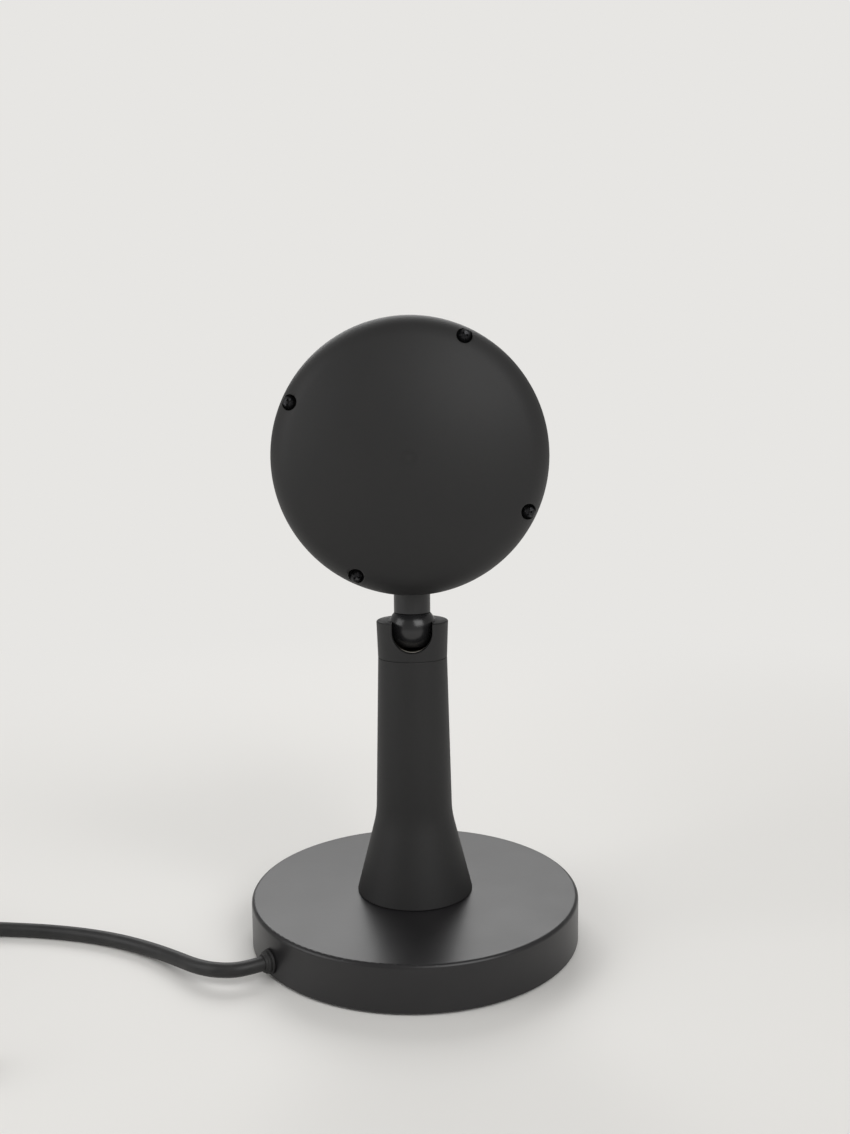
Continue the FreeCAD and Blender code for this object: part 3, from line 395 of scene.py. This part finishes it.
def bare_aluminium(slot):
    """Extruded aluminium, with its drawing lines along the fins."""
    metal = Finish(slot, (0.72, 0.72, 0.73), 0.38, Metallic=1.0)
    drawn = metal.grain(0.2, 3.0, keep=(1, 1, 0.04))
    metal.colour(metal.mixed(drawn, (0.62, 0.62, 0.63), (0.78, 0.78, 0.79)))
    metal.set("Roughness", 0.30 + drawn * 0.18)
    metal.relief(drawn, 0.01, 0.5)
    return metal.material


def plated_gold(slot):
    gold = Finish(slot, (0.86, 0.62, 0.26), 0.22, Metallic=1.0)
    wiped = gold.grain(0.2, 2.0, keep=(0.08, 1, 1))
    gold.colour(gold.mixed(wiped, (0.80, 0.55, 0.20), (0.90, 0.68, 0.32)))
    gold.set("Roughness", 0.16 + wiped * 0.16)
    return gold.material


FINISHES = {
    "base_black": satin_paint("base_black"),
    "post_black": powder_coat("post_black"),
    "head_black": powder_coat("head_black"),
    "ball_black": smooth_black("ball_black", 0.24),
    "neck_black": smooth_black("neck_black", 0.42),
    "ring_black": anodised("ring_black"),
    "cast_weight": cast_iron("cast_weight"),
    "plate_steel": bright_steel("plate_steel", (0.56, 0.57, 0.58), 0.34),
    "screw_steel": bright_steel("screw_steel", (0.60, 0.60, 0.61), 0.28),
    "spring_steel": bright_steel("spring_steel", (0.48, 0.48, 0.50), 0.30),
    "plug_steel": bright_steel("plug_steel", (0.68, 0.67, 0.65), 0.22),
    "black_screw": black_oxide("black_screw"),
    "foam_pad": foam("foam_pad"),
    "cord_rubber": soft_black("cord_rubber", 0.56),
    "cord_jacket": soft_black("cord_jacket", 0.46),
    "plug_rubber": soft_black("plug_rubber", 0.54),
    "lead_jacket": moulded("lead_jacket", (0.42, 0.03, 0.025), 0.4, 0.004),
    "seat_nylon": greased_nylon("seat_nylon"),
    "switch_plastic": moulded("switch_plastic", (0.014, 0.014, 0.0145), 0.5),
    "switch_inner": moulded("switch_inner", (0.06, 0.06, 0.06), 0.5),
    "button_plastic": moulded("button_plastic", (0.017, 0.017, 0.018), 0.24, 0.002),
    "tie_plastic": moulded("tie_plastic", (0.016, 0.016, 0.016), 0.38, 0.004),
    "tube_black": moulded("tube_black", (0.012, 0.012, 0.012), 0.62),
    "plug_inner": moulded("plug_inner", (0.80, 0.80, 0.78), 0.35, 0.003),
    "board_white": moulded("board_white", (0.78, 0.79, 0.76), 0.3, 0.003),
    "contact_gold": plated_gold("contact_gold"),
    "lens_glass": clear_glass("lens_glass"),
    "filter_glass": filter_glass("filter_glass"),
    "reflector_bright": mirror_metal("reflector_bright"),
    "phosphor": phosphor("phosphor"),
    "sink_aluminium": bare_aluminium("sink_aluminium"),
}

for subpart in frame["record"]["subparts"]:
    solid = frame["nodes"][subpart["node"]]
    solid.data.materials.clear()
    solid.data.materials.append(FINISHES[subpart["material_slot"]])


def set_piece(piece, body, slot, nodes=()):
    """Give a piece its finish, and set it on the body that carries it, in place of its solids."""
    bpy.context.collection.objects.link(piece)
    piece.data.materials.append(FINISHES[slot])
    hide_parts(*nodes)
    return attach(piece, body)


# =====================================================================================
# turned and cut pieces
# =====================================================================================
ROUND = 96
# A piece of the head is turned about Z and then laid along Y, so its heights are places along Y.
HEAD_PLACE = Matrix.Translation((0, 0, HEAD_Z)) @ Matrix.Rotation(math.radians(-90), 4, "X")


def turned(corners, closed=True, steps=ROUND):
    """A shape turned about Z from corners (radius, height), or (radius, height, rounding)."""
    shape = bmesh.new()
    spots = [shape.verts.new((corner[0], 0, corner[1])) for corner in corners]
    for first, second in zip(spots, spots[1:]):
        shape.edges.new((first, second))
    if closed:
        shape.edges.new((spots[-1], spots[0]))
    flat = [Vector(corner[:2]) for corner in corners]
    for index, corner in enumerate(corners):
        if len(corner) == 3:
            before = (flat[index] - flat[index - 1]).normalized()
            after = (flat[(index + 1) % len(flat)] - flat[index]).normalized()
            # A rounding of this radius starts this far from the corner.
            reach = corner[2] * math.tan(before.angle(after) / 2)
            bmesh.ops.bevel(shape, geom=[spots[index]], offset=reach, segments=4, profile=0.5,
                            affect="VERTICES", material=-1)
    bmesh.ops.spin(shape, geom=shape.verts[:] + shape.edges[:], axis=(0, 0, 1), angle=2 * math.pi,
                   steps=steps, use_merge=True)
    bmesh.ops.remove_doubles(shape, verts=shape.verts, dist=0.0005)
    bmesh.ops.recalc_face_normals(shape, faces=shape.faces)
    return shape


def placed(shape, place):
    bmesh.ops.transform(shape, matrix=place, verts=shape.verts)
    return shape


def standing(spot, direction):
    """The place of something made along +Z that stands at a spot along a direction."""
    return Matrix.Translation(spot) @ Vector(direction).to_track_quat("Z", "Y").to_matrix().to_4x4()


def joined(shapes):
    """One shape of several."""
    whole = bmesh.new()
    for shape in shapes:
        part = bpy.data.meshes.new("part")
        shape.to_mesh(part)
        shape.free()
        whole.from_mesh(part)
        bpy.data.meshes.remove(part)
    return whole


def piece(name, shape, body, slot, nodes=(), sharp=32):
    """A finished piece from a shape in millimetres. Edges that turn more than sharp degrees are crisp."""
    bmesh.ops.scale(shape, vec=(MM, MM, MM), verts=shape.verts)
    mesh = bpy.data.meshes.new(name)
    shape.to_mesh(mesh)
    shape.free()
    mesh.shade_smooth()
    mesh.set_sharp_from_angle(angle=math.radians(sharp))
    return set_piece(bpy.data.objects.new(name, mesh), body, slot, nodes)


def make_cover():
    """The rear cover, its solid's triangles joined up so that the dome is shaded smoothly to its middle."""
    cover = bmesh.new()
    cover.from_mesh(frame["nodes"]["rear_cover"].data)
    bmesh.ops.remove_doubles(cover, verts=cover.verts, dist=0.001 * MM)
    bmesh.ops.scale(cover, vec=(1 / MM, 1 / MM, 1 / MM), verts=cover.verts)
    return cover


def make_lens():
    """A thick bulging lens with a smooth face and small ground edges."""
    sag = LENS_EDGE - LENS_TIP
    face_r = (LENS_BULGE_R ** 2 + sag ** 2) / (2 * sag)
    half = math.asin(LENS_BULGE_R / face_r)
    rings = 24
    bulge = [(face_r * math.sin(half * k / rings), LENS_TIP + face_r * (1 - math.cos(half * k / rings)))
             for k in range(rings + 1)]
    corners = bulge + [(LENS_R, LENS_EDGE, 0.25), (LENS_R, LENS_SEAT, 0.25), (0, LENS_SEAT)]
    return placed(turned(corners, closed=False, steps=128), HEAD_PLACE)


def make_light_tube():
    """The black tube that carries the colour filter. Its mouth is stepped, so it throws no light back."""
    mouth = tube_low.y
    flange = tube_high.y
    wide = LENS_R - MOUTH_IN
    outside = TUBE_BORE + TUBE_WALL
    run = (wide - TUBE_BORE) / TUBE_STEPS
    rise = (mouth - TUBE_STEPS_FROM) / TUBE_STEPS
    inside = []
    for step in range(TUBE_STEPS):
        radius = TUBE_BORE + run * step
        height = TUBE_STEPS_FROM + rise * step
        inside += [(radius, height), (radius + run * 0.85, height + rise * 0.15)]
    corners = [(TUBE_BORE, flange)] + inside + [
        (wide, mouth), (LENS_R - MOUTH_OUT, mouth, 0.2), (outside, TUBE_WAIST, 0.5),
        (outside, TUBE_FLANGE, 0.4), (tube_high.x, TUBE_FLANGE, 0.3), (tube_high.x, flange)]
    return placed(turned(corners), HEAD_PLACE)


def make_reflector():
    """A cone of flat mirror facets round the chip."""
    lip_r = TUBE_BORE - REFLECTOR_GAP
    corners = [(5.0, REFLECTOR_FOOT), (5.9, REFLECTOR_FOOT), (12.6, REFLECTOR_LIP), (lip_r, REFLECTOR_LIP),
               (lip_r, REFLECTOR_FACE), (12.2, REFLECTOR_FACE), (10.3, -3.5), (8.0, -2.0), (6.2, 0.0)]
    return placed(turned(corners, steps=24), HEAD_PLACE)


def make_chip_plate():
    """The square ceramic plate under the phosphor."""
    plate = bmesh.new()
    bmesh.ops.create_cube(plate, size=1.0)
    bmesh.ops.scale(plate, vec=(CHIP_SIDE, CHIP_SIDE, CHIP_T), verts=plate.verts)
    upright = [edge for edge in plate.edges if abs(edge.verts[0].co.z - edge.verts[1].co.z) > 0.1]
    bmesh.ops.bevel(plate, geom=upright, offset=CHIP_CORNER, segments=3, profile=0.5, affect="EDGES",
                    material=-1)
    bmesh.ops.translate(plate, vec=(0, 0, CHIP_FACE + CHIP_T / 2), verts=plate.verts)
    return placed(plate, HEAD_PLACE)


def make_phosphor():
    """The domed drop of phosphor inside its dam."""
    corners = [(0, 1.96), (3.0, 1.98), (4.0, 2.06), (4.15, DAM_TOP), (PHOSPHOR_R, DAM_TOP, 0.1),
               (PHOSPHOR_R, CHIP_FACE), (0, CHIP_FACE)]
    return placed(turned(corners, closed=False), HEAD_PLACE)


def drawn_out(shape, rim):
    """Draw a rim out into a new ring, and give its corners and its edges."""
    grown = bmesh.ops.extrude_edge_only(shape, edges=rim)["geom"]
    ring = [part for part in grown if isinstance(part, bmesh.types.BMVert)]
    edges = [part for part in grown if isinstance(part, bmesh.types.BMEdge)]
    return ring, edges


def cross_screw(radius, height, shank_r, shank_l):
    """A round-headed screw with a tapered cross recess, standing on Z = 0 with its point down."""
    screw = turned([(0, -shank_l), (shank_r * 0.4, -shank_l), (shank_r, -shank_l + shank_r), (shank_r, 0),
                    (radius, 0), (radius, height * 0.35)], closed=False, steps=24)
    rim = [edge for edge in screw.edges if edge.is_boundary]
    for share, rise in ((0.86, 0.66), (0.70, 0.86)):
        ring, rim = drawn_out(screw, rim)
        for vert in ring:
            flat = vert.co.xy.normalized() * radius * share
            vert.co = (flat.x, flat.y, height * rise)
    # The recess: a cross in the top and a smaller one below it. Each corner of a ring goes to an arm's
    # end, along its side, or to the inner corner between two arms, by its direction.
    arm = radius * 0.56
    half_slot = radius * 0.15
    for shrink, level in ((1.0, 1.0), (0.72, 0.42)):
        ring, rim = drawn_out(screw, rim)
        for vert in ring:
            side = [math.copysign(1, value) for value in vert.co.xy]
            slant = math.degrees(math.atan2(abs(vert.co.y), abs(vert.co.x)))
            reach = arm * shrink
            across = min(slant, 90 - slant)
            along = reach if across < 20 else (reach + half_slot) / 2 if across < 38 else half_slot
            beside = 0 if across < 8 else half_slot
            pair = (along, beside) if slant < 45 else (beside, along)
            vert.co = (side[0] * pair[0], side[1] * pair[1], height * level)
    bmesh.ops.holes_fill(screw, edges=rim)
    bmesh.ops.recalc_face_normals(screw, faces=screw.faces)
    return screw


COVER_SCREW_R = 36.8
COVER_SCREW_FLOOR = 14.0
PLATE_SCREW_R = 37.0
COVER_SCREW_ANGLES = (25, 115, 205, 295)
PLATE_SCREW_ANGLES = (90, 210, 330)
pad_high = span("foot_pad")[1]
plate_high = span("bottom_plate")[1]
PLATE_GAP = 0.05
WALL_SLACK = 0.3


def make_cover_screws():
    screws = []
    for angle in COVER_SCREW_ANGLES:
        side = polar(COVER_SCREW_R, angle)
        spot = Vector((side.x, COVER_SCREW_FLOOR, HEAD_Z + side.y))
        turn = Matrix.Rotation(math.radians(angle * 1.7), 4, "Z")
        screw = cross_screw(radius=2.0, height=1.3, shank_r=1.2, shank_l=9.5)
        screws.append(placed(screw, standing(spot, (0, 1, 0)) @ turn))
    return joined(screws)


def make_bottom_screws():
    screws = []
    for angle in PLATE_SCREW_ANGLES:
        turn = Matrix.Rotation(math.radians(angle * 0.7), 4, "Z")
        screw = cross_screw(radius=2.75, height=0.9, shank_r=1.45, shank_l=5.5)
        place = standing(polar(PLATE_SCREW_R, angle, pad_high.z), (0, 0, -1)) @ turn
        screws.append(placed(screw, place))
    return joined(screws)


def make_grommet():
    """The soft relief where the cord leaves the base: a flange cut flat above the plate, then two ribs
    and a thin lip round the cord."""
    inside = CORD_D / 2
    sleeve_r = inside + 0.75
    groove_r = inside + 0.85
    flange_r = inside + 1.5
    lip = GROMMET_OUT - BASE_R
    flange = [(inside, -3.7), (flange_r, -3.7, 0.2), (flange_r, -2.1, 0.2), (sleeve_r, -2.1)]
    first_rib = [(sleeve_r, 0.05), (flange_r, 0.05, 0.15), (inside + 1.42, 0.75, 0.2),
                 (groove_r, 0.85, 0.1)]
    second_rib = [(groove_r, 1.1, 0.1), (inside + 1.15, 1.2, 0.15), (inside + 1.0, 1.7, 0.2),
                  (inside + 0.6, 1.8, 0.1)]
    thin_lip = [(inside + 0.5, lip, 0.15), (inside, lip)]
    relief = turned(flange + first_rib + second_rib + thin_lip, steps=48)
    placed(relief, standing(polar(BASE_R, EXIT_ANGLE, EXIT_Z), polar(1, EXIT_ANGLE)))
    inner = [face for face in relief.faces
             if max(vert.co.xy.length for vert in face.verts) < BASE_R - BASE_WALL + WALL_SLACK]
    parts = {part for face in inner for part in (face, *face.edges, *face.verts)}
    bmesh.ops.bisect_plane(relief, geom=list(parts), plane_co=(0, 0, plate_high.z + PLATE_GAP),
                           plane_no=(0, 0, -1), clear_outer=True)
    bmesh.ops.holes_fill(relief, edges=[edge for edge in relief.edges if edge.is_boundary])
    bmesh.ops.recalc_face_normals(relief, faces=relief.faces)
    return relief


piece("cover_shell", make_cover(), "head", "head_black", ["rear_cover"], sharp=24)
piece("lens_glass", make_lens(), "head", "lens_glass", ["lens"])
piece("stepped_tube", make_light_tube(), "head", "tube_black", ["light_tube"], sharp=20)
piece("mirror_facets", make_reflector(), "head", "reflector_bright", ["reflector"], sharp=5)
piece("chip_plate", make_chip_plate(), "head", "board_white", ["led_emitter"])
piece("phosphor_drop", make_phosphor(), "head", "phosphor", ["led_emitter"])
piece("cover_screw_set", make_cover_screws(), "head", "black_screw", ["cover_screws"])
piece("bottom_screw_set", make_bottom_screws(), "root", "screw_steel", ["bottom_screws"])
cord_relief = piece("cord_relief", make_grommet(), "root", "cord_rubber", ["cord_grommet"])


# =====================================================================================
# the cord
# =====================================================================================
def coil_spot(turn):
    """The coil's centre line after so many turns: in and out again at a steady rate, a layer up at
    each reversal."""
    per_layer = COIL_TURNS / COIL_LAYERS
    reach = COIL_STEP * per_layer / 2
    wave = abs((turn / per_layer + 1) % 2 - 1) * per_layer
    for edge in (0.0, per_layer):
        gap = abs(wave - edge)
        if gap < COIL_TURNING and COIL_ENDS < turn < COIL_TURNS - COIL_ENDS:
            rounded = gap ** 2 / (2 * COIL_TURNING) + COIL_TURNING / 2
            wave = rounded if edge == 0.0 else per_layer - rounded
            break
    radius = COIL_MEAN_R + reach - COIL_STEP * wave
    climb = 0.0
    for layer in range(1, COIL_LAYERS):
        share = min(max((turn - layer * per_layer) / COIL_CLIMB + 0.5, 0), 1)
        climb += share * share * (3 - 2 * share)
    low = CORD_D / 2 + TIE_T + TIE_GAP
    return Vector((COIL_X, COIL_Y, 0)) + polar(radius, 360 * turn, low + COIL_STEP * climb)


def coil_way(turn):
    step = 0.002
    return (coil_spot(min(turn + step, COIL_TURNS)) - coil_spot(max(turn - step, 0))).normalized()


def coil_points():
    """The coil's control points, set out a little so that the curve inside them has its radius."""
    outward = 1 / math.cos(math.pi / COIL_POINTS)
    points = []
    for step in range(1, int(COIL_TURNS * COIL_POINTS)):
        spot = coil_spot(step / COIL_POINTS)
        middle = Vector((COIL_X, COIL_Y, spot.z))
        points.append(middle + (spot - middle) * outward)
    return points


def wire(name, points, radius, sides, fineness):
    """A round wire on a smooth line that has these control points."""
    curve = bpy.data.curves.new(name, "CURVE")
    curve.dimensions = "3D"
    curve.bevel_depth = radius * MM
    curve.bevel_resolution = sides
    curve.resolution_u = fineness
    curve.use_fill_caps = True
    spline = curve.splines.new("NURBS")
    spline.points.add(len(points) - 1)
    for point, spot in zip(spline.points, points):
        point.co = (*(spot * MM), 1.0)
    spline.order_u = 3
    spline.use_endpoint_u = True
    return bpy.data.objects.new(name, curve)


def cord(name, points, body, nodes):
    return set_piece(wire(name, points, CORD_D / 2, sides=7, fineness=8), body, "cord_jacket", nodes)


exit_at = polar(GROMMET_OUT, EXIT_ANGLE, EXIT_Z)
switch_near = Vector((switch_low.x, SWITCH_Y, SWITCH_H / 2))
switch_far = Vector((switch_high.x, SWITCH_Y, SWITCH_H / 2))
coil_start = coil_spot(0)
coil_meet = coil_start - coil_way(0) * CORD_D
coil_end = coil_spot(COIL_TURNS)
coil_leave = coil_end + coil_way(COIL_TURNS) * CORD_D
plug_rear = Vector((coil_end.x - 57.0, coil_end.y - 1.4, PLUG_Z))

lead_route = [
    exit_at, exit_at + polar(6.0, EXIT_ANGLE), Vector((54.6, 33.6, 4.75)), Vector((61.4, 30.2, 4.2)),
    Vector((68.2, 23.9, 3.3)), Vector((77.0, 16.8, 2.5)), Vector((88.2, 10.2, 2.1)),
    Vector((100.4, 5.7, 2.05)), Vector((112.8, 2.9, 2.05)), Vector((123.4, 1.5, 2.05)),
    Vector((131.2, 1.2, 2.3)), Vector((138.0, 1.3, 3.6)), Vector((144.6, SWITCH_Y, SWITCH_H / 2)),
    switch_near]
supply_route = [
    switch_far, Vector((204.0, 1.5, SWITCH_H / 2)), Vector((212.3, 4.3, 3.7)), Vector((219.2, 9.5, 2.9)),
    Vector((224.4, 16.6, 2.7)), Vector((227.2, 25.4, 2.7)), coil_meet - coil_way(0) * 10.4, coil_meet]
supply_route += coil_points()
supply_route += [
    coil_leave, coil_leave + coil_way(COIL_TURNS) * 8.0, coil_end + Vector((-22.5, -0.8, -2.6)),
    coil_end + Vector((-33.0, -1.1, -8.6)), Vector((coil_end.x - 43.0, coil_end.y - 1.3, PLUG_Z + 0.4)),
    Vector((coil_end.x - 50.5, plug_rear.y, PLUG_Z)), plug_rear]

cord_lead = cord("cord_from_base", lead_route, "root", ["cord_lead"])
cord_supply = cord("cord_to_plug", supply_route, "root", ["cord_middle", "cord_coil", "cord_end"])


# =====================================================================================
# the spring under the ball
# =====================================================================================
SPRING_R = 6.3
SPRING_WIRE_R = 0.55
SPRING_TURNS = 4
SPRING_POINTS = 16
CLOSED_RISE = 2.3 * SPRING_WIRE_R
spring_low, spring_high = span("seat_spring")


def make_spring():
    """A compression spring with a closed turn at each end."""
    outward = 1 / math.cos(math.pi / SPRING_POINTS)
    low = spring_low.z + SPRING_WIRE_R
    high = spring_high.z - SPRING_WIRE_R
    points = []
    for index in range((SPRING_TURNS + 2) * SPRING_POINTS + 1):
        turn = index / SPRING_POINTS
        climb = (turn - 1) / SPRING_TURNS
        height = low + CLOSED_RISE + (high - low - 2 * CLOSED_RISE) * climb
        if turn < 1:
            height = low + CLOSED_RISE * turn
        if turn > SPRING_TURNS + 1:
            height = high - CLOSED_RISE * (SPRING_TURNS + 2 - turn)
        points.append(polar(SPRING_R * outward, 360 * turn, height))
    spring = wire("seat_spring_wire", points, SPRING_WIRE_R, sides=5, fineness=4)
    return set_piece(spring, "root", "spring_steel", ["seat_spring"])


make_spring()


# =====================================================================================
# floor, light and camera
# =====================================================================================
FLOOR_R = 3.0
FLOOR_CLEAR = 150.0
FLOOR_FAR = 560.0
PALE = (0.80, 0.79, 0.77)
ROOM_LEVEL = 0.45


def make_floor():
    bm = bmesh.new()
    bmesh.ops.create_circle(bm, cap_ends=True, segments=96, radius=FLOOR_R)
    mesh = bpy.data.meshes.new("floor")
    bm.to_mesh(mesh)
    bm.free()
    floor = bpy.data.objects.new("floor", mesh)
    bpy.context.collection.objects.link(floor)
    table = Finish("table_top", PALE, 0.6, Specular_IOR_Level=0.2)
    mesh.materials.append(table.material)
    far = table.distance(keep=(1, 1, 0)).between(FLOOR_CLEAR, FLOOR_FAR)
    haze = table.node("ShaderNodeEmission", {}, {"Color": (*PALE, 1.0), "Strength": 1.0})
    blend = table.node("ShaderNodeMixShader", {}, {0: far, 1: table.surface.outputs[0], 2: haze.outputs[0]})
    table.feed(table.tree.nodes["Material Output"].inputs["Surface"], blend.outputs[0])


def make_world():
    """Soft light from all round, and white where the camera or glass looks straight into it."""
    world = bpy.data.worlds.new("room")
    bpy.context.scene.world = world
    world.use_nodes = True
    tree = world.node_tree
    background = tree.nodes["Background"]
    background.inputs["Color"].default_value = (*PALE, 1.0)
    rays = tree.nodes.new("ShaderNodeLightPath")
    seen = tree.nodes.new("ShaderNodeMath")
    seen.operation = "MAXIMUM"
    tree.links.new(rays.outputs["Is Camera Ray"], seen.inputs[0])
    tree.links.new(rays.outputs["Is Transmission Ray"], seen.inputs[1])
    level = tree.nodes.new("ShaderNodeMapRange")
    level.inputs["To Min"].default_value = ROOM_LEVEL
    level.inputs["To Max"].default_value = 1.0
    tree.links.new(seen.outputs[0], level.inputs["Value"])
    tree.links.new(level.outputs["Result"], background.inputs["Strength"])


def softbox(name, spot, aim, size, power):
    light = bpy.data.lights.new(name, "AREA")
    light.shape = "RECTANGLE"
    light.size = size[0]
    light.size_y = size[1]
    light.energy = power
    box = bpy.data.objects.new(name, light)
    bpy.context.collection.objects.link(box)
    box.location = spot
    box.rotation_euler = (Vector(aim) - Vector(spot)).to_track_quat("-Z", "Y").to_euler()


# The photograph's frame is 850 by 1134 pixels, and the focal length and height were fitted to the
# base's ellipses in it. The camera stands behind the lamp and looks a little down.
PHOTO_H = 1134
FOCAL_PIXELS = 1041
CAMERA_SPOT = Vector((-4.0, 309.4, 148.6))
CAMERA_DOWN = 6.45
CAMERA_ROLL = -0.57


def make_camera():
    lens = bpy.data.cameras.new("camera")
    lens.sensor_width = 36.0
    lens.lens = FOCAL_PIXELS / PHOTO_H * lens.sensor_width
    camera = bpy.data.objects.new("camera", lens)
    bpy.context.collection.objects.link(camera)
    camera.matrix_world = (Matrix.Translation(CAMERA_SPOT * MM) @ Matrix.Rotation(math.pi, 4, "Z")
                           @ Matrix.Rotation(math.radians(90 - CAMERA_DOWN), 4, "X")
                           @ Matrix.Rotation(math.radians(CAMERA_ROLL), 4, "Z"))
    bpy.context.scene.camera = camera


make_floor()
make_world()
# The places and sizes of the lights are in metres, and their power is in watts.
softbox("window", (-0.55, 0.75, 0.80), (0, 0, 0.10), (0.8, 0.8), 7.0)
softbox("fill", (0.85, 0.30, 0.50), (0, 0, 0.10), (0.6, 0.8), 3.0)
softbox("front", (0.10, -0.85, 0.70), (0, 0, 0.10), (0.8, 0.6), 5.0)
make_camera()

bpy.context.scene.view_settings.view_transform = "Standard"
